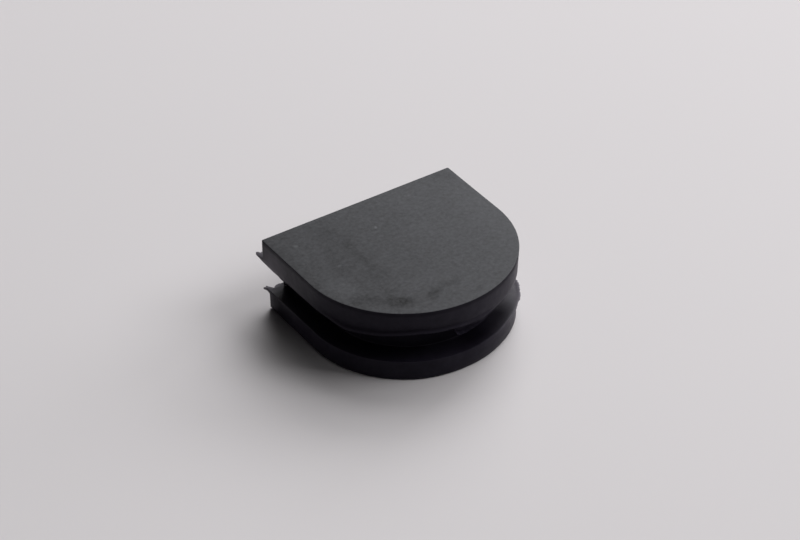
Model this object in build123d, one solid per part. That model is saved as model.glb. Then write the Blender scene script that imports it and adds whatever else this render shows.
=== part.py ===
"""Rubber blanking plug for a U-shaped cable entry in a thin wall.

One moulded piece: two D-shaped flanges joined by a narrower D-shaped neck. The gap between the flanges
is the groove that the wall's edge slides into. The plug rests on its lower flange.

Frame, in millimetres: the origin is the centre of the round end, on the face that the plug rests on.
+Z is up, +Y points at the flat back, and X runs along the flat back.
"""
import os

from build123d import *

# ---- driving dimensions ----------------------------------------------------------------------------------
flange_width = 20.0             # across the straight sides of the top flange
side_length = 8.2               # from the centre of the round end to the flat back
top_flange_thickness = 2.3
groove_width = 3.2              # free gap between the flanges, along Z
lower_flange_thickness = 2.0
groove_depth = 2.2              # from the lower flange's edge in to the neck
lower_flange_step = 0.3         # the lower flange is this much smaller than the top one, all round
neck_back_step = 0.2            # from the lower flange's back in to the neck's back

corner_radius = 0.15            # upright corners, where the flat back meets the straight sides
rim_radius = 0.1                # outer rims of the two end faces
root_radius = 0.1               # foot of the neck, inside the groove

flash_thickness = 0.15          # thin skin of rubber that the mould's two joints leave
side_flash = 0.15               # how far it stands out round the sides and the round end
back_flash = 1.0                # how far it stands out behind the flat back

# ---- levels and outlines that follow ---------------------------------------------------------------------
lower_joint = lower_flange_thickness                 # the mould's lower joint, at the groove's floor
upper_joint = lower_joint + groove_width             # the mould's upper joint, at the groove's roof
total_height = upper_joint + top_flange_thickness

top_half_width = flange_width / 2
lower_half_width = top_half_width - lower_flange_step
lower_back = side_length - lower_flange_step
neck_half_width = lower_half_width - groove_depth
neck_back = lower_back - neck_back_step

tolerance = 0.001


def d_shape(half_width, back, corner=0.0):
    """A D in plan: a half circle about the origin, two straight sides, and a flat back at y = back."""
    left, right = (-half_width, 0), (half_width, 0)
    back_left, back_right = (-half_width, back), (half_width, back)
    outline = make_face(
        ThreePointArc(left, (0, -half_width), right)
        + Polyline(right, back_right, back_left, left)
    )
    if corner > 0:
        outline = fillet(outline.vertices().group_by(Axis.Y)[-1], corner)
    return outline


def slab(outline, bottom, thickness):
    """A flat plate of the given outline, standing on the level bottom."""
    return Pos(0, 0, bottom) * extrude(outline, thickness)


def edges_at(solid, level):
    """The edges that lie in the plane z = level."""
    return solid.edges().filter_by_position(Axis.Z, level - tolerance, level + tolerance)


def flange(half_width, back, bottom, thickness, rim_level):
    """One flange, with the rim of its end face, at rim_level, rounded."""
    plate = slab(d_shape(half_width, back, corner_radius), bottom, thickness)
    return fillet(edges_at(plate, rim_level), rim_radius)


def neck_feet(body):
    """The edges at the foot of the neck, inside the groove, where it meets each flange."""
    reach = neck_half_width + tolerance
    feet = []
    for level in (lower_joint, upper_joint):
        for edge in edges_at(body, level):
            box = edge.bounding_box()
            within_neck = -reach < box.min.X and box.max.X < reach
            runs_along_back = box.min.Y > neck_back - tolerance
            if within_neck and not runs_along_back:
                feet.append(edge)
    return feet


def flash(half_width, back, bottom):
    """The thin skin round a flange at a joint of the mould: narrow at the sides, wide behind the back."""
    rim = d_shape(half_width + side_flash, back)
    behind = Pos(0, back + back_flash / 2) * Rectangle(2 * half_width, back_flash)
    return slab(rim + behind, bottom, flash_thickness)


def blanking_plug():
    """The whole plug as one solid."""
    body = slab(d_shape(neck_half_width, neck_back), lower_joint, groove_width)
    body += flange(lower_half_width, lower_back, 0, lower_flange_thickness, 0)
    body += flange(top_half_width, side_length, upper_joint, top_flange_thickness, total_height)
    body = fillet(neck_feet(body), root_radius)
    body += flash(lower_half_width, lower_back, lower_joint - flash_thickness)
    body += flash(top_half_width, side_length, upper_joint)
    return body


if __name__ == "__main__":
    os.makedirs("parts", exist_ok=True)
    plug = blanking_plug()
    export_step(plug, "parts/blanking_plug.step")
    size = plug.bounding_box().size
    print(f"blanking_plug: {len(plug.solids())} solid, {plug.volume:.1f} mm3, "
          f"{size.X:.2f} x {size.Y:.2f} x {size.Z:.2f} mm, valid {plug.is_valid}")
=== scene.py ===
"""The looks of a moulded rubber blanking plug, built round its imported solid.

The plug is one closed skin: rings of points, one above the other, laid out by a Geometry Nodes tree from
the rule of its D-shaped outline. Lengths in the tables below and in the trees are in millimetres.
"""
import math

import bpy
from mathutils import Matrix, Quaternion, Vector


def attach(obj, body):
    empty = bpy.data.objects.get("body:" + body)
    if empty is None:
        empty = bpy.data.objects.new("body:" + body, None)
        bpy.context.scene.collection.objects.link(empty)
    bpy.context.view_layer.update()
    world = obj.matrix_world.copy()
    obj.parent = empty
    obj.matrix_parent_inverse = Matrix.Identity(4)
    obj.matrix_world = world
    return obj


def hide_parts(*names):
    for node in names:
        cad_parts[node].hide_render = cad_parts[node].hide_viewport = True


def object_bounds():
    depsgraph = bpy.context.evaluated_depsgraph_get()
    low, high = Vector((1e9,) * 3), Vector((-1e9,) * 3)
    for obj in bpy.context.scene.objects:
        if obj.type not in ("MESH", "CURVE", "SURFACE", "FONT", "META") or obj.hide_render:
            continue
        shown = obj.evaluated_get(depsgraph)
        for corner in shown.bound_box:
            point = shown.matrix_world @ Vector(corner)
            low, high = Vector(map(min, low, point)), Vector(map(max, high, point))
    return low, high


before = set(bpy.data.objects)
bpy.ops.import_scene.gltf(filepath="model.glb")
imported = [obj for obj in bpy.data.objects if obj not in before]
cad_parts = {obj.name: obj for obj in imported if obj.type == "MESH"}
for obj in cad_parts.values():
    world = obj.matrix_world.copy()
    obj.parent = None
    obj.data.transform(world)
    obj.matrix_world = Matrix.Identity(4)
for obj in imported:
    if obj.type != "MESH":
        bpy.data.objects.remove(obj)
cad_low, cad_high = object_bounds()

MM = 0.001

# ---- sizes of the plug, in millimetres -------------------------------------------------------------------
SIDE_FLASH = 0.15               # even flash on the solid's sides, which its box includes
BACK_FLASH = 1.0                # the same behind its flat back
HALF_WIDTH = cad_high.x / MM - SIDE_FLASH
SIDE_LENGTH = cad_high.y / MM - BACK_FLASH
HEIGHT = cad_high.z / MM
TOP_FLANGE = 2.3
LOWER_FLANGE = 2.0
LOWER_STEP = 0.3                # the lower flange is this much smaller than the top one, all round
GROOVE_DEPTH = 2.2
NECK_BACK_STEP = 0.2
EDGE_SPREAD = 0.05              # how far the moulding stands outside the sizes above
CORNER_RADIUS = 0.12
RIM_RADIUS = 0.06               # of the top face
FOOT_RADIUS = 0.25              # of the face that the plug rests on
ROOT_RADIUS = 0.1
SHARP_CORNER = 0.04             # radius of a corner that looks sharp
CRISP_ANGLE = math.radians(38)  # an edge that turns by more than this is shaded as sharp

ROOF = HEIGHT - TOP_FLANGE      # the groove's roof, and the mould's upper joint
FLOOR = LOWER_FLANGE            # the groove's floor, and the mould's lower joint

# ---- how the outline's points are shared out -------------------------------------------------------------
COLUMNS = 1000
BACK_SHARE = 0.28               # of each half of the outline, from the middle of the back to the tip
CORNER_SHARE = 0.02
SIDE_SHARE = 0.22
END_SHARE = 1 - BACK_SHARE - CORNER_SHARE - SIDE_SHARE


# ==== node trees ==========================================================================================
class Value:
    """A number in a node tree. Python's operators on it add Math nodes."""

    def __init__(self, nodes, socket):
        self.nodes = nodes
        self.socket = socket

    def __add__(self, other):
        return self.nodes.math("ADD", self, other)

    __radd__ = __add__

    def __sub__(self, other):
        return self.nodes.math("SUBTRACT", self, other)

    def __rsub__(self, other):
        return self.nodes.math("SUBTRACT", other, self)

    def __mul__(self, other):
        return self.nodes.math("MULTIPLY", self, other)

    __rmul__ = __mul__

    def __truediv__(self, other):
        return self.nodes.math("DIVIDE", self, other)

    def __pow__(self, other):
        return self.nodes.math("POWER", self, other)

    def __abs__(self):
        return self.nodes.math("ABSOLUTE", self)

    def __gt__(self, other):
        return self.nodes.math("GREATER_THAN", self, other)


class Nodes:
    """Adds nodes to one tree, for a material or for a shape."""

    def __init__(self, tree):
        self.tree = tree
        tree.nodes.clear()

    def add(self, kind, settings=None, inputs=None, output=0):
        """A node of that kind, with its settings, then its inputs' values or links. Returns one output."""
        node = self.tree.nodes.new(kind)
        for name, value in (settings or {}).items():
            if name == "curve":
                self.shape_curve(node, value)
            else:
                setattr(node, name, value)
        for name, value in (inputs or {}).items():
            self.feed(node.inputs[name], value)
        return Value(self, node.outputs[output]) if node.outputs else node

    @staticmethod
    def shape_curve(node, points):
        """Runs a Float Curve straight through the points."""
        curve = node.mapping.curves[0]
        for point in points[1:-1]:
            curve.points.new(*point)
        curve.points[0].location = points[0]
        curve.points[-1].location = points[-1]
        for point in curve.points:
            point.handle_type = "VECTOR"
        node.mapping.update()

    def feed(self, socket, value):
        if isinstance(value, Value):
            self.tree.links.new(value.socket, socket)
        elif value is not None:
            socket.default_value = value

    def math(self, operation, *values):
        return self.add("ShaderNodeMath", {"operation": operation}, dict(enumerate(values)))

    def clamp(self, value):
        return self.add("ShaderNodeClamp", inputs={"Value": value})

    def ease(self, value, low, high):
        """0 below low, 1 above high, and a smooth rise between them. low may be the greater."""
        return self.add(
            "ShaderNodeMapRange", {"interpolation_type": "SMOOTHSTEP"},
            {"Value": value, "From Min": low, "From Max": high},
        )

    def vector(self, x, y, z):
        return self.add("ShaderNodeCombineXYZ", inputs={"X": x, "Y": y, "Z": z})

    def vector_math(self, operation, *values, output=0):
        inputs = dict(enumerate(values))
        if operation == "SCALE":
            inputs = {0: values[0], "Scale": values[1]}
        return self.add("ShaderNodeVectorMath", {"operation": operation}, inputs, output)

    def split(self, vector):
        node = self.add("ShaderNodeSeparateXYZ", inputs={0: vector}).socket.node
        return [Value(self, socket) for socket in node.outputs]

    def noise(self, where, scale, detail=2.0, roughness=0.5):
        inputs = {"Vector": where, "Scale": scale, "Detail": detail, "Roughness": roughness}
        return self.add("ShaderNodeTexNoise", inputs=inputs)

    def noise_colour(self, where, scale):
        """Noise that pushes a place about, as a vector round (0, 0, 0)."""
        noise = self.add("ShaderNodeTexNoise", inputs={"Vector": where, "Scale": scale}, output="Color")
        return self.vector_math("SUBTRACT", noise, (0.5, 0.5, 0.5))

    def tint(self, colour, shade):
        """A colour made lighter or darker by a factor."""
        return self.vector_math("SCALE", colour[:3], shade)

    def mix(self, factor, first, second):
        """A colour between two colours."""
        node = self.tree.nodes.new("ShaderNodeMix")
        node.data_type = "RGBA"
        colour_inputs = {"Factor": 0, "A": 6, "B": 7}
        for name, value in (("Factor", factor), ("A", first), ("B", second)):
            self.feed(node.inputs[colour_inputs[name]], value)
        return Value(self, node.outputs[2])


# ==== the plug's shape ====================================================================================
# the last four values weight painted shade in the crease and the groove, painted light and shade on the lower
# flange's wall, and painted shade along the top rim
RING_VALUES = (
    "side_in", "back_in", "corner", "height", "joint", "crease", "lip", "root", "slot", "hang",
    "upper_film", "lower_film", "round_in", "round_down", "lean", "foot", "web",
    "dirt", "deep", "low_wall", "rim",
)


def steps(first, last, count):
    return [first + (last - first) * i / (count - 1) for i in range(count)]


def ring(inset, height, back_in=None, corner=CORNER_RADIUS, **extra):
    """One ring of the skin: how far it lies inside the top flange's outline, its height, and how much it
    takes part in what varies round the plug, such as the upper joint's wander or a film of flash."""
    values = dict.fromkeys(RING_VALUES, 0.0)
    values.update(extra, side_in=inset, back_in=inset if back_in is None else back_in,
                  corner=max(corner, SHARP_CORNER), height=height)
    return values


def upper_wall_ring(height, **extra):
    """A ring of the top flange's wall, which leans in towards its lower edge."""
    extra.setdefault("lean", (HEIGHT - height) / TOP_FLANGE)
    return ring(-EDGE_SPREAD, height, **extra)


def rim_rings(inset, edge_height, radius, inward):
    """A rounded rim, from its wall to its flat face if inward is 1, and back if it is -1."""
    turns = steps(0, math.pi / 2, 5)[::inward]
    side = 1 if edge_height > 0 else -1
    rings = []
    for turn in turns:
        drawn_in = radius * (1 - math.cos(turn))
        height = edge_height - side * radius * (1 - math.sin(turn))
        foot = 1.0 if side < 0 else 0.0
        corner = CORNER_RADIUS - drawn_in
        rings.append(ring(inset + drawn_in, height, corner=corner, foot=foot, low_wall=foot))
    return rings


def underside_rings():
    """The flat underside, and the rounded rim that leads up to the lower flange's wall."""
    edge = LOWER_STEP - EDGE_SPREAD
    flat = [ring(edge + FOOT_RADIUS + further_in, 0) for further_in in (1.5, 0.3)]
    return flat + rim_rings(edge, 0, FOOT_RADIUS, -1)


def lower_wall_rings():
    """The lower flange's wall, and its upper edge, which is rounded or carries a film of flash."""
    edge = LOWER_STEP - EDGE_SPREAD
    rings = [
        ring(edge, z, foot=max(0, 1 - z / FLOOR * 2), low_wall=1)
        for z in steps(FOOT_RADIUS + 0.12, FLOOR - 0.72, 5)
    ]
    turned = ((0.0, 0.34), (0.1, 0.25), (0.3, 0.19), (0.6, 0.14), (0.88, 0.11), (1.0, 0.07), (0.98, 0.03),
              (0.85, 0.01), (0.6, 0.0), (0.3, 0.0), (0.08, 0.0))
    for (film, below), turn in zip(turned, steps(0, math.pi / 2, len(turned))):
        corner = CORNER_RADIUS + (SHARP_CORNER - CORNER_RADIUS) * film
        rings.append(ring(edge, FLOOR - below, corner=corner, lower_film=film, low_wall=1,
                          round_in=1 - math.cos(turn), round_down=1 - math.sin(turn)))
    return rings


def groove_rings():
    """The groove's floor, the neck with its rounded feet, and the groove's roof."""
    neck_in = LOWER_STEP + GROOVE_DEPTH
    back_in = LOWER_STEP + NECK_BACK_STEP
    foot_in = neck_in - ROOT_RADIUS
    # deep sets how much painted shade darkens each ring inside the groove
    neck = dict(back_in=back_in, corner=SHARP_CORNER, deep=1)
    rings = []
    for share in steps(0.06, 0.94, 7):
        inset = LOWER_STEP + share * (foot_in - LOWER_STEP)
        rings.append(ring(inset, FLOOR, back_in=LOWER_STEP + share * NECK_BACK_STEP, corner=SHARP_CORNER,
                          round_in=max(0, 1 - share * 3), deep=min(1.3, 0.6 + share * 1.6),
                          low_wall=1 - share))
    for turn in steps(0, math.pi / 2, 5):
        out, up = ROOT_RADIUS * math.sin(turn), ROOT_RADIUS * (1 - math.cos(turn))
        rings.append(ring(foot_in + out, FLOOR + up, web=1 if up > 0.02 else 0, **neck))
    for share in steps(0, 1, 5):
        height = FLOOR + 0.25 + share * (ROOF - FLOOR - 0.5)
        rings.append(ring(neck_in, height, web=1, **neck))
    for turn in steps(math.pi / 2, 0, 5):
        out, up = ROOT_RADIUS * math.sin(turn), ROOT_RADIUS * (1 - math.cos(turn))
        rings.append(ring(foot_in + out, ROOF - up, web=1 if up > 0.02 else 0, **neck))
    for share in steps(0.94, 0.38, 4):
        rings.append(ring(share * foot_in, ROOF, back_in=share * back_in, corner=SHARP_CORNER,
                          joint=1 - share, deep=1))
    return rings


def upper_wall_rings():
    """The film of flash that hangs from the top flange's lower edge, the slot above it, the lip and the
    crease along the joint, and the wall."""
    rings = []
    for film, inset, above, hang, slot in (
        (0.0, 0.14, 0.0, 0.0, 1.15), (0.0, 0.13, 0.0, 0.6, 1.15), (0.1, 0.12, 0.0, 1.1, 1.1),
        (0.3, 0.1, 0.0, 1.12, 0.8), (0.6, 0.08, 0.0, 1.1, 0.4), (0.9, 0.05, 0.0, 1.05, 0.1),
        (1.0, 0.02, 0.01, 1.0, 0.0), (1.0, 0.0, 0.03, 1.0, 0.0), (0.85, 0.0, 0.04, 1.0, 0.1),
        (0.55, 0.0, 0.045, 1.0, 0.3), (0.25, 0.01, 0.05, 1.0, 0.7), (0.06, 0.015, 0.055, 1.0, 1.0),
        (0.0, 0.015, 0.058, 0.75, 1.0), (0.0, 0.015, 0.06, 0.4, 1.0), (0.0, 0.015, 0.062, 0.08, 1.0),
        (0.0, 0.01, 0.066, 0.0, 0.6), (0.0, 0.0, 0.07, 0.0, 0.15),
    ):
        corner = CORNER_RADIUS + (SHARP_CORNER - CORNER_RADIUS) * film
        rings.append(ring(inset - EDGE_SPREAD, ROOF + above, corner=corner, lean=1, joint=1, upper_film=film,
                          root=1 - film if above > 0.02 else 0, hang=hang, slot=slot))
    # the third column sets how much painted shade darkens each ring along the crease
    for lip, crease, dirt, above, joint in (
        (0.55, 0.0, 0.0, 0.08, 1), (0.95, 0.0, 0.0, 0.1, 1), (0.95, 0.0, 0.05, 0.13, 1),
        (0.7, 0.0, 0.15, 0.17, 1), (0.4, 0.1, 0.35, 0.22, 1), (0.1, 0.4, 0.7, 0.28, 1),
        (0.0, 0.8, 0.95, 0.34, 1), (0.0, 1.0, 1.0, 0.4, 1), (0.0, 1.0, 1.0, 0.45, 1),
        (0.0, 0.7, 0.9, 0.52, 0.9), (0.0, 0.3, 0.6, 0.6, 0.7), (0.0, 0.05, 0.35, 0.7, 0.5),
        (0.0, 0.0, 0.12, 0.85, 0.25),
    ):
        root = max(0, 1 - (above - 0.06) * 3.2)
        rings.append(upper_wall_ring(ROOF + above, joint=joint, lip=lip, crease=crease, dirt=dirt, root=root))
    rings += [upper_wall_ring(z) for z in steps(ROOF + 1.05, HEIGHT - 0.55, 4)]
    # the wall's top rings take the painted shade along the rim
    rings += [upper_wall_ring(HEIGHT - below, rim=rim) for below, rim in ((0.4, 0.4), (0.3, 1), (0.2, 1))]
    return rings


def top_rings():
    """The rounded rim of the top face, and the flat border inside it."""
    flat = [ring(RIM_RADIUS - EDGE_SPREAD + further_in, HEIGHT) for further_in in (0.1, 1.5)]
    rim = rim_rings(-EDGE_SPREAD, HEIGHT, RIM_RADIUS, 1)
    # the rim's outer rings take most of the painted shade along the rim
    for values in rim[:3]:
        values["rim"] = 0.8
    return rim + flat


def closed_shell(name, rings):
    """A closed shell of quads between rings of COLUMNS points, with a flat face at each end. Its points are
    all at the origin until the tree places them by the values that they carry."""
    rows = len(rings)
    faces = []
    for row in range(rows - 1):
        below, above = row * COLUMNS, (row + 1) * COLUMNS
        for column in range(COLUMNS):
            following = (column + 1) % COLUMNS
            faces.append((below + following, below + column, above + column, above + following))
    faces.append(tuple(range(COLUMNS)))
    faces.append(tuple(reversed(range((rows - 1) * COLUMNS, rows * COLUMNS))))
    mesh = bpy.data.meshes.new(name)
    mesh.from_pydata([(0, 0, 0)] * (rows * COLUMNS), [], faces)
    around = mesh.attributes.new("around", "FLOAT", "POINT")
    around.data.foreach_set("value", [column / COLUMNS for column in range(COLUMNS)] * rows)
    for key in RING_VALUES:
        attribute = mesh.attributes.new(key, "FLOAT", "POINT")
        attribute.data.foreach_set("value", [row[key] for row in rings for _ in range(COLUMNS)])
    return mesh


# ---- places along the outline, as shares of one turn, clockwise from above, from the middle of the back ----
def place_on_turn(from_back, right):
    return from_back / 2 if right else 1 - from_back / 2


def on_back(from_left_corner, half_width=HALF_WIDTH):
    """On the flat back, that many millimetres from its left corner as seen from the round end."""
    x = from_left_corner - half_width
    return place_on_turn(BACK_SHARE * abs(x) / half_width, x > 0)


def on_lower_back(from_left_corner):
    return on_back(from_left_corner, HALF_WIDTH - LOWER_STEP)


def on_left_side(from_corner):
    """On the straight left side, that many millimetres from its back corner."""
    return place_on_turn(BACK_SHARE + CORNER_SHARE + SIDE_SHARE * from_corner / SIDE_LENGTH, False)


def on_end(degrees):
    """On the round end, that many degrees to the right of its tip, or to the left if negative."""
    return place_on_turn(1 - END_SHARE * abs(degrees) / 90, degrees > 0)


LEFT_CORNER = place_on_turn(BACK_SHARE + CORNER_SHARE / 2, False)
RIGHT_CORNER = place_on_turn(BACK_SHARE + CORNER_SHARE / 2, True)

# Each list runs round the plug: (place, millimetres).
UPPER_LEAN = [                   # how far the top flange's wall leans in at its lower edge
    (0.0, 0.02), (RIGHT_CORNER, 0.02), (on_end(80), 0.15), (on_end(-88), 0.16), (on_left_side(2), 0.13),
    (on_left_side(0.7), 0.03), (LEFT_CORNER, -0.03), (on_back(1), 0.0), (1.0, 0.02),
]
FOOT_IN = [                      # how far the lower flange draws in at its foot
    (0.0, 0.0), (on_end(50), 0.0), (on_end(28), 0.13), (on_end(0), 0.13), (on_end(-24), 0.0), (1.0, 0.0),
]
NECK_WEB = [                     # the web of flash that stands across the back end of the groove
    (0.0, 0.0), (RIGHT_CORNER - 0.012, 0.0), (RIGHT_CORNER - 0.004, 0.5), (RIGHT_CORNER, 0.6),
    (RIGHT_CORNER + 0.006, 0.0), (LEFT_CORNER - 0.006, 0.0), (LEFT_CORNER, 0.8),
    (LEFT_CORNER + 0.004, 0.7), (LEFT_CORNER + 0.012, 0.0), (1.0, 0.0),
]
UPPER_BACK_REACH = [             # how far the top flange's flash reaches behind the flat back
    (0.0, 0.95), (on_back(12.5), 0.6), (on_back(15), 0.9), (on_back(18.5), 0.75), (RIGHT_CORNER, 0.55),
    (LEFT_CORNER, 1.12), (on_back(0.5), 1.25), (on_back(1.2), 1.05), (on_back(3.5), 1.0), (on_back(7), 1.1),
    (1.0, 0.95),
]
UPPER_FILM_REACH = [             # the same round its sides and its round end
    (0.0, 0.03), (on_end(60), 0.0), (on_end(20), 0.02), (on_end(9), 0.08), (on_end(2), 0.12),
    (on_end(-8), 0.12), (on_end(-9), 0.03), (on_end(-42), 0.03), (on_end(-50), 0.06), (on_end(-60), 0.1),
    (on_end(-66), 0.16), (on_end(-70), 0.08), (on_end(-80), 0.03), (1.0, 0.03),
]
JOINT_WANDER = [                 # how far the upper joint climbs
    (0.0, 0.0), (on_end(40), 0.0), (on_end(30), -0.03), (on_end(18), -0.1), (on_end(13), -0.16),
    (on_end(6), -0.2), (on_end(1), -0.27), (on_end(-5), -0.23), (on_end(-11), -0.16), (on_end(-20), -0.17),
    (on_end(-26), -0.08), (on_end(-36), -0.17), (on_end(-44), -0.33), (on_end(-54), -0.43),
    (on_end(-61), -0.53), (on_end(-66), -0.6), (on_end(-72), -0.42), (on_end(-78), -0.27),
    (on_end(-84), -0.22), (on_left_side(5), -0.28), (on_left_side(2), -0.3), (on_left_side(0.9), -0.15),
    (on_left_side(0.3), -0.02), (LEFT_CORNER, 0.08), (on_back(1), 0.04), (on_back(3), 0.0), (1.0, 0.0),
]
UPPER_DROP = [                   # how far the upper film hangs below the joint
    (0.0, 0.0), (on_end(21), 0.0), (on_end(17), 0.08), (on_end(13), 0.16), (on_end(9.5), 0.38),
    (on_end(5), 0.48), (on_end(1.5), 0.52), (on_end(-2.5), 0.68), (on_end(-6.6), 0.74), (on_end(-7.6), 0.6),
    (on_end(-8.3), 0.0), (on_end(-62), 0.0), (on_end(-65), 0.03), (on_end(-66.2), 0.16),
    (on_end(-67.5), 0.0), (on_left_side(4.4), 0.0), (on_left_side(4), 0.14), (on_left_side(3.8), 0.03),
    (on_left_side(3.5), 0.18), (on_left_side(3.2), 0.03), (on_left_side(2.2), 0.04), (LEFT_CORNER, 0.0),
    (1.0, 0.0),
]
LIP_REACH = [                    # how far the lip stands out along the upper joint
    (0.0, 0.0), (on_end(17), 0.0), (on_end(12), 0.06), (on_end(8), 0.08), (on_end(-12), 0.1),
    (on_end(-14), 0.13), (on_end(-16), 0.1), (on_end(-45), 0.1), (on_end(-62), 0.12), (on_end(-70), 0.08),
    (on_end(-80), 0.0), (1.0, 0.0),
]
CREASE_DEPTH = [                 # how deep the crease above that lip is
    (0.0, 0.0), (on_end(16), 0.0), (on_end(10), 0.03), (on_end(0), 0.05), (on_end(-40), 0.07),
    (on_end(-66), 0.08), (on_end(-74), 0.05), (on_end(-82), 0.0), (1.0, 0.0),
]
SLOT_DEPTH = [                   # how deep the slot between the lip and the hanging film is
    (0.0, 0.0), (on_end(8), 0.0), (on_end(4), 0.12), (on_end(0), 0.3), (on_end(-7.2), 0.36),
    (on_end(-8.4), 0.0), (1.0, 0.0),
]
FIN_ROOT = [                     # how much thicker the fin behind the back is at its root
    (0.0, 0.16), (RIGHT_CORNER, 0.16), (RIGHT_CORNER + 0.006, 0.0), (LEFT_CORNER - 0.006, 0.0),
    (LEFT_CORNER, 0.16), (1.0, 0.16),
]
LOWER_BACK_REACH = [             # how far the lower flange's flash reaches behind its back
    (0.0, 0.7), (on_lower_back(12), 0.85), (on_lower_back(14.5), 0.3), (on_lower_back(16), 0.8),
    (on_lower_back(18.5), 0.9), (RIGHT_CORNER, 0.7), (LEFT_CORNER, 1.05), (on_lower_back(0.2), 0.92),
    (on_lower_back(0.34), 0.84), (on_lower_back(0.4), 0.3), (on_lower_back(0.46), 0.08),
    (on_lower_back(0.56), 0.08), (on_lower_back(0.66), 0.16), (on_lower_back(0.8), 0.34),
    (on_lower_back(0.95), 0.42), (on_lower_back(1.5), 0.34), (on_lower_back(2.2), 0.3),
    (on_lower_back(3.4), 0.8), (on_lower_back(6), 0.6), (1.0, 0.7),
]
LOWER_FILM_REACH = [             # the same round its sides and its round end
    (0.0, 0.12), (RIGHT_CORNER, 0.12), (on_end(90), 0.2), (on_end(76), 0.16), (on_end(69), 0.32),
    (on_end(65), 0.44), (on_end(60), 0.36), (on_end(54), 0.46), (on_end(50), 0.26), (on_end(42), 0.18),
    (on_end(36), 0.08), (on_end(30), 0.0), (1.0, 0.0),
]
LOWER_ROUNDING = [               # radius of the lower flange's upper edge, where it carries no film
    (0.0, 0.0), (RIGHT_CORNER, 0.0), (on_end(45), 0.0), (on_end(34), 0.1), (on_end(20), 0.1),
    (on_end(0), 0.06), (LEFT_CORNER, 0.05), (LEFT_CORNER + 0.02, 0.0), (1.0, 0.0),
]
LOWER_CURL = [                   # how far that flash curls up, or down if negative
    (0.0, 0.0), (on_end(76), 0.0), (on_end(66), 0.1), (on_end(54), 0.06), (on_end(45), 0.0),
    (LEFT_CORNER - 0.01, 0.0), (LEFT_CORNER, -0.45), (on_lower_back(0.34), -0.1),
    (on_lower_back(0.6), 0.0), (1.0, 0.0),
]

# painted light on the top flange's wall towards its lower edge and on the lower flange's wall, and how pale
# the films are, their own paler rubber with a painted highlight, from 0 to 1
UPPER_PAINTED_LIGHT = [
    (0.0, 0.12), (RIGHT_CORNER, 0.3), (on_end(75), 0.5), (on_end(62), 0.35), (on_end(50), 0.16),
    (on_end(38), 0.09), (on_end(20), 0.04), (on_end(2), 0.02), (on_end(-6), 0.0), (on_end(-88), 0.0),
    (on_left_side(6), 0.05),
    (on_left_side(4), 0.22), (on_left_side(2.6), 0.6), (on_left_side(1), 1.0), (on_left_side(0.3), 0.6),
    (LEFT_CORNER, 0.04), (1.0, 0.12),
]
LOWER_PAINTED_LIGHT = [
    (0.0, 0.1), (RIGHT_CORNER, 0.2), (on_end(70), 0.36), (on_end(57), 0.3), (on_end(42), 0.1),
    (on_end(25), 0.03), (on_end(8), 0.0), (on_left_side(0.8), 0.0), (on_left_side(0.3), 0.2),
    (LEFT_CORNER, 0.35), (1.0, 0.1),
]
FILM_PALE_AND_LIGHT = [
    (0.0, 0.4), (RIGHT_CORNER, 0.5), (on_end(50), 0.5), (on_end(30), 0.15), (on_end(16), 0.02),
    (on_end(5), 0.0), (on_left_side(4), 0.0), (on_left_side(1), 0.5), (LEFT_CORNER, 0.6), (1.0, 0.4),
]
# how much painted shade darkens the crease, the groove and the lower flange's wall, from 0 to 1
CREASE_SHADE = [
    (0.0, 0.0), (on_end(10), 0.0), (on_end(4), 0.03), (on_end(-3), 0.12), (on_end(-8), 0.38),
    (on_end(-20), 0.4), (on_end(-30), 0.6), (on_end(-70), 0.65), (on_end(-76), 0.4), (on_end(-84), 0.15),
    (on_left_side(6), 0.0), (1.0, 0.0),
]
GROOVE_SHADE = [
    (0.0, 0.0), (on_end(57), 0.0), (on_end(52), 0.08), (on_end(46), 0.3), (on_end(38), 0.6),
    (on_end(29), 0.55), (on_end(22), 0.58), (on_end(14), 0.74), (on_end(6), 0.74), (on_end(-2), 0.55),
    (on_end(-12), 0.35), (on_end(-30), 0.25), (LEFT_CORNER, 0.25), (LEFT_CORNER + 0.02, 0.2), (1.0, 0.0),
]
# painted shade along the top face's rounded rim
RIM_SHADE = 0.35
LOWER_WALL_SHADE = [
    (0.0, 0.0), (on_left_side(4.2), 0.0), (on_left_side(2.8), 0.3), (on_left_side(1.7), 0.5),
    (on_left_side(0.9), 0.25), (on_left_side(0.4), 0.0), (LEFT_CORNER, 0.0), (on_lower_back(0.8), 0.0),
    (on_lower_back(1.7), 0.5), (on_lower_back(2.8), 0.4), (on_lower_back(7), 0.0), (1.0, 0.0),
]
CURVE_SPAN = 1.4                # a curve's height of 1 stands for this much
CURVE_ZERO = 0.4                # the curve height that stands for 0, which leaves room for drops


def profile(nodes, around, stations):
    """The millimetres that a list of stations gives at each place round the plug."""
    points = [(place, CURVE_ZERO + size / CURVE_SPAN * (1 - CURVE_ZERO)) for place, size in stations]
    height = nodes.add("ShaderNodeFloatCurve", {"curve": sorted(points)}, {"Value": around})
    return (height - CURVE_ZERO) * (CURVE_SPAN / (1 - CURVE_ZERO))


def outline_shares(nodes, around):
    """How far along the back, the corner, the side and the round end each point is, from 0 to 1, and the
    sign of its side."""
    from_back = 1 - abs(around * 2 - 1)
    shares, start = [], 0.0
    for span in (BACK_SHARE, CORNER_SHARE, SIDE_SHARE, END_SHARE):
        shares.append(nodes.clamp((from_back - start) / span))
        start += span
    return shares, 1 - (around > 0.5) * 2


def d_outline(nodes, shares, half_width, back, corner):
    """x, for the right half, and y of a D: flat back, rounded corner, straight side and round end."""
    along_back, round_corner, along_side, round_end = shares
    corner_turn, end_turn = round_corner * (math.pi / 2), round_end * (math.pi / 2)
    x = (
        (half_width - corner) * along_back + corner * nodes.math("SINE", corner_turn)
        - half_width * (1 - nodes.math("COSINE", end_turn))
    )
    y = (
        back - corner * (1 - nodes.math("COSINE", corner_turn)) - (back - corner) * along_side
        - half_width * nodes.math("SINE", end_turn)
    )
    return x, y


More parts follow.
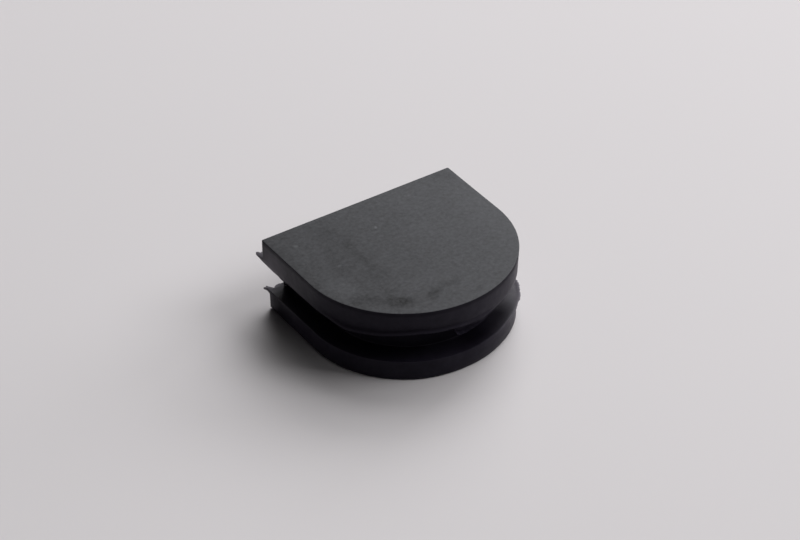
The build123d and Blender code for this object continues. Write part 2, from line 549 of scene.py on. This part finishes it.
def plug_tree(rubber):
    """The tree that lays the shell out as the plug, ragged flash included."""
    tree = bpy.data.node_groups.new("plug shape", "GeometryNodeTree")
    tree.interface.new_socket(name="Geometry", in_out="INPUT", socket_type="NodeSocketGeometry")
    sizes = (("Half width", HALF_WIDTH), ("Side length", SIDE_LENGTH), ("Seed", 3.7), ("Raggedness", 1.0),
             ("Waviness", 0.022))
    for name, size in sizes:
        socket = tree.interface.new_socket(name=name, in_out="INPUT", socket_type="NodeSocketFloat")
        socket.default_value = size
    tree.interface.new_socket(name="Geometry", in_out="OUTPUT", socket_type="NodeSocketGeometry")

    nodes = Nodes(tree)
    group = nodes.add("NodeGroupInput").socket.node
    shell, half_width, side_length, seed, raggedness, waviness = (
        Value(nodes, socket) for socket in list(group.outputs)[:6]
    )

    def carried(name):
        return nodes.add("GeometryNodeInputNamedAttribute", {"data_type": "FLOAT"}, {"Name": name})

    def at(stations):
        return profile(nodes, around, stations)

    around = carried("around")
    values = map(carried, RING_VALUES)
    side_in, back_in, corner, height, joint, crease, lip, root, slot, hang, *rest = values
    upper_film, lower_film, round_in, round_down, lean, foot, web, dirt, deep, low_wall, rim = rest
    shares, side = outline_shares(nodes, around)

    # the films of flash: how far each one reaches at this place, torn by noise that runs along the outline
    plain_x, plain_y = d_outline(nodes, shares, half_width, side_length, CORNER_RADIUS)
    behind = 1 - shares[1]
    beside = nodes.clamp(shares[2] * 40)

    def torn(level):
        where = nodes.vector(plain_x * side, plain_y, seed + level)
        coarse = nodes.noise(where, 0.9, detail=6.0, roughness=0.62) - 0.5
        fine = nodes.noise(where, 4.5, detail=3.0, roughness=0.6) - 0.5
        return (coarse * 1.2 + fine * 0.7) * raggedness

    upper_tear, lower_tear = torn(0.0), torn(11.0)
    upper_back = at(UPPER_BACK_REACH) * (1 + upper_tear * behind)
    lower_back = at(LOWER_BACK_REACH) * (1 + lower_tear * behind)
    upper_side = at(UPPER_FILM_REACH) * (1 + upper_tear * beside)
    lower_side = at(LOWER_FILM_REACH) * (1 + lower_tear * beside)
    drop = at(UPPER_DROP) * (1 + upper_tear * 0.15) * hang
    slot_in = at(SLOT_DEPTH) * slot
    curl = at(LOWER_CURL) * (1 + lower_tear * 0.5) * lower_film ** 1.5
    lip_out = at(LIP_REACH) * (1 + upper_tear) * lip
    crease_in = at(CREASE_DEPTH) * crease
    wander = at(JOINT_WANDER) * joint
    thicker = at(FIN_ROOT) * root
    rounding = at(LOWER_ROUNDING)
    rounded_in, rounded_down = rounding * round_in, rounding * round_down
    drawn_in = at(UPPER_LEAN) * lean + at(FOOT_IN) * foot + rounded_in
    web_out = at(NECK_WEB) * (1 + (torn(5.0) + height * 0.1) * 0.5) * web

    sideways = (
        half_width - side_in + upper_side * upper_film ** 2 + lower_side * lower_film + lip_out - crease_in
        - slot_in - drawn_in + web_out
    )
    back = side_length - back_in + upper_back * upper_film + lower_back * lower_film - drawn_in
    x, y = d_outline(nodes, shares, sideways, back, corner)
    point = nodes.vector(x * side, y, height - drop + curl + wander + thicker - rounded_down)
    placed = nodes.add("GeometryNodeSetPosition", inputs={"Geometry": shell, "Position": point})

    # slow waves in the walls, sideways only, so that the plug stands flat
    bend = nodes.noise(nodes.vector_math("ADD", point, nodes.vector(seed, 0, 0)), 0.35, detail=3.0) - 0.5
    outward = nodes.vector_math("MULTIPLY", nodes.add("GeometryNodeInputNormal"), (1, 1, 0))
    wave = nodes.vector_math("SCALE", outward, bend * (waviness * 2))
    waved = nodes.add("GeometryNodeSetPosition", inputs={"Geometry": placed, "Offset": wave})

    millimetres = nodes.add(
        "GeometryNodeTransform", inputs={"Geometry": waved, "Scale": (MM, MM, MM)},
    )
    crisp = nodes.add("GeometryNodeInputMeshEdgeAngle") > CRISP_ANGLE
    shaded = nodes.add("GeometryNodeSetShadeSmooth", {"domain": "FACE"}, {"Geometry": millimetres})
    creased = nodes.add(
        "GeometryNodeSetShadeSmooth", {"domain": "EDGE"},
        {"Geometry": shaded, "Selection": crisp, "Shade Smooth": False},
    )
    film = nodes.clamp(upper_film + lower_film + lip + web)
    # painted light on the walls, and the films' own paler rubber with a painted highlight
    pale = (
        at(UPPER_PAINTED_LIGHT) * lean + at(LOWER_PAINTED_LIGHT) * low_wall
        + at(FILM_PALE_AND_LIGHT) * film
    )
    # painted shade: darkening in the crease, the groove, along the top rim and on the lower flange's wall
    grime = (
        at(CREASE_SHADE) * dirt + at(GROOVE_SHADE) * deep
        + at(LOWER_WALL_SHADE) * low_wall + rim * RIM_SHADE
    )
    finished = creased
    for name, value in (("pale", pale), ("grime", grime)):
        finished = nodes.add(
            "GeometryNodeStoreNamedAttribute", {"data_type": "FLOAT", "domain": "POINT"},
            {"Geometry": finished, "Name": name, "Value": nodes.clamp(value)},
        )
    real = nodes.add("GeometryNodeRealizeInstances", inputs={"Geometry": finished})
    painted = nodes.add("GeometryNodeSetMaterial", inputs={"Geometry": real, "Material": rubber})
    nodes.add("NodeGroupOutput", inputs={"Geometry": painted})
    return tree, dict(sizes)


def settled(piece):
    """Turns what a piece's modifiers make into its own plain mesh."""
    made = piece.evaluated_get(bpy.context.evaluated_depsgraph_get())
    mesh = bpy.data.meshes.new_from_object(made)
    piece.modifiers.clear()
    piece.data = mesh
    mesh.name = piece.name


def plug(rubber):
    rings = underside_rings() + lower_wall_rings() + groove_rings() + upper_wall_rings() + top_rings()
    piece = bpy.data.objects.new("plug_rubber", closed_shell("plug_rubber", rings))
    bpy.context.scene.collection.objects.link(piece)
    tree, sizes = plug_tree(rubber)
    modifier = piece.modifiers.new("shape", "NODES")
    modifier.node_group = tree
    for item in tree.interface.items_tree:
        if item.name in sizes and item.in_out == "INPUT":
            modifier[item.identifier] = sizes[item.name]
    settled(piece)
    for key in ("around",) + RING_VALUES:
        piece.data.attributes.remove(piece.data.attributes[key])
    return piece


# ==== finishes ============================================================================================
BARE_DARK = (0.0085, 0.0070, 0.0125, 1)
BARE_LIGHT = (0.0160, 0.0140, 0.0215, 1)
# painted shade: the dark colour that stands in for shade
PAINTED_SHADE = (0.0034, 0.0028, 0.0046, 1)
# the pale grey of paler films, and of painted light on the walls
PALE = (0.15, 0.139, 0.161, 1)
# the top face's grey bloom, made lighter to stand in for part of its sheen
BLOOM_AND_SHEEN = (0.056, 0.057, 0.0615, 1)
PAPER = (0.66, 0.635, 0.648, 1)
ROOM_GLOW = (0.01, 0.01, 0.01, 1)       # the little light that comes from all round


def new_material(name):
    material = bpy.data.materials.new(name)
    material.use_nodes = True
    return material, Nodes(material.node_tree)


# Marks on the top face: (x, y, length, width, turn in degrees, how much lighter or darker), in millimetres.
TOP_MARKS = [
    (-5.3, -6.3, 2.3, 1.2, -38, -0.2), (-5.2, -6.4, 1.4, 0.7, -35, -0.24), (-4.3, -7.0, 0.9, 0.7, 0, -0.26),
    (-7.5, -4.6, 1.7, 0.9, -20, -0.24), (-2.1, -7.4, 1.0, 0.6, 40, -0.34), (-1.1, -6.8, 1.5, 0.5, 12, -0.22),
    (0.3, -7.0, 0.9, 0.5, 0, -0.26), (1.0, -6.6, 0.6, 0.4, 0, -0.14), (-4.9, 1.6, 2.0, 6.6, 0, -0.12),
    (-4.2, 0.4, 0.6, 2.2, 0, -0.14), (-4.0, 3.4, 0.6, 1.4, 0, -0.14), (-4.3, -2.0, 1.3, 1.6, 0, -0.1),
    (-4.6, 5.8, 1.2, 1.3, 0, -0.1), (-9.8, 4.0, 0.9, 4.8, 0, -0.16), (-6.9, 0.2, 0.7, 1.1, 0, -0.12),
    (-4.6, -4.7, 0.9, 0.4, 0, -0.14), (1.2, -9.0, 1.1, 0.35, 8, -0.14), (1.9, -8.8, 0.6, 0.3, 0, -0.12),
    (9.0, 7.4, 0.7, 1.2, 40, -0.2), (-0.8, 3.6, 0.25, 0.2, 0, -0.3), (-9.6, -0.5, 0.5, 0.8, 0, -0.14),
    (-8.0, -2.0, 1.3, 2.1, 15, 0.17), (-7.4, -2.8, 0.7, 0.8, 0, 0.08), (3.2, 1.6, 2.3, 2.3, 0, 0.06),
    (8.6, 1.2, 2.0, 5.4, 0, 0.1), (-1.6, -5.2, 2.6, 1.2, 0, 0.06), (-0.8, 5.9, 0.6, 0.5, 0, 0.1),
    (6.9, 1.2, 0.3, 0.3, 0, -0.18), (-1.5, -8.4, 3.4, 0.7, 0, -0.03),
]
TOP_SPECKS = [
    (-8.05, 5.6, 0.26, 0.24, 0, 0.65), (-0.65, 3.95, 0.16, 0.3, -20, 0.8), (4.6, 6.5, 0.2, 0.22, 0, 0.3),
    (-6.4, 0.9, 0.22, 0.18, 0, 0.35), (3.75, -2.45, 0.35, 0.17, 0, 0.22), (-8.9, 2.9, 0.15, 0.2, 0, 0.25),
]


def mark(nodes, where, x, y, long, wide, turn):
    """A soft-edged oval on the top face: 1 in its middle and 0 outside."""
    placed = nodes.add(
        "ShaderNodeMapping", {"vector_type": "TEXTURE"},
        {"Vector": where, "Location": (x * MM, y * MM, HEIGHT * MM),
         "Rotation": (0, 0, math.radians(turn)), "Scale": (long * MM, wide * MM, 1)},
    )
    return nodes.ease(nodes.vector_math("LENGTH", placed, output="Value"), 1.25, 0.3)


def rubber_material():
    """Matt black moulded rubber, with a grey bloom on its top face that a painted sheen lightens towards the
    right, paler films of flash that are partly a painted highlight, painted light on the walls and painted
    shade in the crease and the groove.
    """
    material, nodes = new_material("black rubber")
    texture = nodes.add("ShaderNodeTexCoord").socket.node
    where = Value(nodes, texture.outputs["Object"])
    facing_up = nodes.split(Value(nodes, texture.outputs["Normal"]))[2]
    across, _, height = nodes.split(where)
    on_top = nodes.ease(height, HEIGHT * MM - 0.1 * MM, HEIGHT * MM - 0.03 * MM)
    bloom = nodes.ease(facing_up, 0.7, 0.995) * on_top

    # the bloom, with a painted sheen that lightens it towards the right, cloudy, handled here and there
    painted_sheen = nodes.clamp(across / (HALF_WIDTH * 2 * MM) + 0.5)
    clouds = nodes.noise(where, 190, detail=4.0, roughness=0.55)
    mottle = nodes.noise(where, 1300, detail=4.0, roughness=0.65)
    grit = nodes.noise(where, 2800, detail=3.0, roughness=0.6)
    wobble = nodes.vector_math("SCALE", nodes.noise_colour(where, 1100), 1.5 * MM)
    smudged = nodes.vector_math("ADD", where, wobble)
    shade = 0.76 + painted_sheen * 0.56 + (clouds - 0.5) * 0.3 + (mottle - 0.5) * 0.95 + (grit - 0.5) * 1.15
    for x, y, long, wide, turn, amount in TOP_MARKS:
        shade = shade + mark(nodes, smudged, x, y, long, wide, turn) * amount
    for x, y, long, wide, turn, amount in TOP_SPECKS:
        shade = shade + mark(nodes, where, x, y, long, wide, turn) * amount
    dust_and_sheen = nodes.tint(BLOOM_AND_SHEEN, shade)

    # bare rubber, with paler films of flash that are partly a painted highlight, painted light on the top
    # flange's wall towards its lower edge and on the lower flange's wall, and painted shade in the crease,
    # the groove, along the top rim and on the lower flange's wall
    pale = nodes.add("ShaderNodeAttribute", {"attribute_name": "pale"}, output="Fac")
    grime = nodes.add("ShaderNodeAttribute", {"attribute_name": "grime"}, output="Fac")
    streaks = nodes.noise(where, 900, detail=4.0, roughness=0.65)
    bare = nodes.mix(nodes.clamp((streaks - 0.5) * 2.2 + 0.5), BARE_DARK, BARE_LIGHT)
    pale_films_and_painted_light = nodes.mix(nodes.clamp(pale * (0.7 + streaks * 0.6)), bare, PALE)
    colour = nodes.mix(bloom, pale_films_and_painted_light, dust_and_sheen)

    grain = nodes.noise(where, 5200, detail=2.0, roughness=0.5)
    pores = nodes.noise(where, 1700, detail=3.0, roughness=0.6)
    bump = nodes.add(
        "ShaderNodeBump", inputs={"Strength": 0.35, "Distance": 0.02 * MM, "Height": grain * 0.5 + pores},
    )
    shader = nodes.add(
        "ShaderNodeBsdfPrincipled",
        inputs={
            "Base Color": colour, "Roughness": 0.45 + bloom * 0.2 + (mottle - 0.5) * 0.3,
            "Specular IOR Level": 0.09, "Normal": bump,
        },
    )
    # a dark matt finish mixed in where painted shade stands in for shade
    dirt = nodes.add(
        "ShaderNodeBsdfPrincipled",
        inputs={"Base Color": PAINTED_SHADE, "Roughness": 0.9, "Specular IOR Level": 0.0, "Normal": bump},
    )
    dirty = nodes.add("ShaderNodeMixShader", inputs={0: nodes.clamp(grime), 1: shader, 2: dirt})
    nodes.add("ShaderNodeOutputMaterial", inputs={"Surface": dirty})
    return material


def paper_material():
    """Pale matt paper."""
    material, nodes = new_material("pale paper")
    shader = nodes.add(
        "ShaderNodeBsdfPrincipled",
        inputs={"Base Color": PAPER, "Roughness": 0.9, "Specular IOR Level": 0.1},
    )
    nodes.add("ShaderNodeOutputMaterial", inputs={"Surface": shader})
    return material


# ==== the room ============================================================================================
VIEW_AZIMUTH = math.radians(-32.33)     # 0 looks along +Y
VIEW_ELEVATION = math.radians(36.0)
VIEW_ROLL = math.radians(-1.68)
VIEW_DISTANCE = 262 * MM
VIEW_LENS = 130.5
SENSOR_WIDTH = 36
VIEW_AIM = Vector((0.731, 2.297, 3.206)) * MM
FLOOR_HALF = 0.6
LIGHT_DISTANCE = 0.8
# name, azimuth and elevation in degrees, width and height in metres, power in watts
LIGHTS = (
    ("window", 160, 32, 0.5, 0.45, 4.45),
    ("upper window", 160, 60, 0.6, 0.28, 1.66),
    ("low window", 118, 18, 0.42, 0.34, 2.48),
    ("side window", 86, 42, 0.36, 0.5, 2.75),
    ("front fill", 48, 46, 0.3, 0.3, 0.35),
)


def away(azimuth, elevation):
    """The direction from the plug towards a place that far round, as seen by the camera, and that high.
    Azimuth 0 is behind the camera and grows to its right."""
    turn = VIEW_AZIMUTH + azimuth
    level = math.cos(elevation)
    return Vector((math.sin(turn) * level, -math.cos(turn) * level, math.sin(elevation)))


def camera():
    data = bpy.data.cameras.new("camera")
    data.lens = VIEW_LENS
    data.sensor_width = SENSOR_WIDTH
    data.clip_start, data.clip_end = 0.01, 10
    eye = bpy.data.objects.new("camera", data)
    bpy.context.scene.collection.objects.link(eye)
    back = away(0, VIEW_ELEVATION)
    eye.location = VIEW_AIM + back * VIEW_DISTANCE
    eye.rotation_mode = "QUATERNION"
    eye.rotation_quaternion = (-back).to_track_quat("-Z", "Y") @ Quaternion((0, 0, 1), VIEW_ROLL)
    bpy.context.scene.camera = eye


def soft_light(name, azimuth, elevation, width, height, power):
    data = bpy.data.lights.new(name, "AREA")
    data.shape = "RECTANGLE"
    data.size, data.size_y = width, height
    data.energy = power
    lamp = bpy.data.objects.new(name, data)
    bpy.context.scene.collection.objects.link(lamp)
    towards = away(math.radians(azimuth), math.radians(elevation))
    lamp.location = towards * LIGHT_DISTANCE
    lamp.rotation_mode = "QUATERNION"
    lamp.rotation_quaternion = towards.to_track_quat("Z", "Y")


def room_light():
    world = bpy.data.worlds.new("room")
    bpy.context.scene.world = world
    world.use_nodes = True
    nodes = Nodes(world.node_tree)
    path = nodes.add("ShaderNodeLightPath").socket.node
    camera_ray, glossy_ray, transmission_ray = (
        Value(nodes, path.outputs[name]) for name in ("Is Camera Ray", "Is Glossy Ray", "Is Transmission Ray")
    )
    seen = nodes.clamp(camera_ray + glossy_ray + transmission_ray)
    lit = nodes.add("ShaderNodeBackground", inputs={"Color": ROOM_GLOW, "Strength": 1.0})
    shown = nodes.add("ShaderNodeBackground", inputs={"Color": PAPER, "Strength": 1.0})
    both = nodes.add("ShaderNodeMixShader", inputs={0: seen, 1: lit, 2: shown})
    nodes.add("ShaderNodeOutputWorld", inputs={"Surface": both})


def floor():
    corners = [(FLOOR_HALF * x, FLOOR_HALF * y, 0) for x, y in ((-1, -1), (1, -1), (1, 1), (-1, 1))]
    mesh = bpy.data.meshes.new("floor")
    mesh.from_pydata(corners, [], [(0, 1, 2, 3)])
    mesh.materials.append(paper_material())
    sheet = bpy.data.objects.new("floor", mesh)
    bpy.context.scene.collection.objects.link(sheet)


bpy.context.scene.view_settings.view_transform = "Standard"
camera()
floor()
room_light()
for light in LIGHTS:
    soft_light(*light)

body = plug(rubber_material())
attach(body, "root")
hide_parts("blanking_plug")
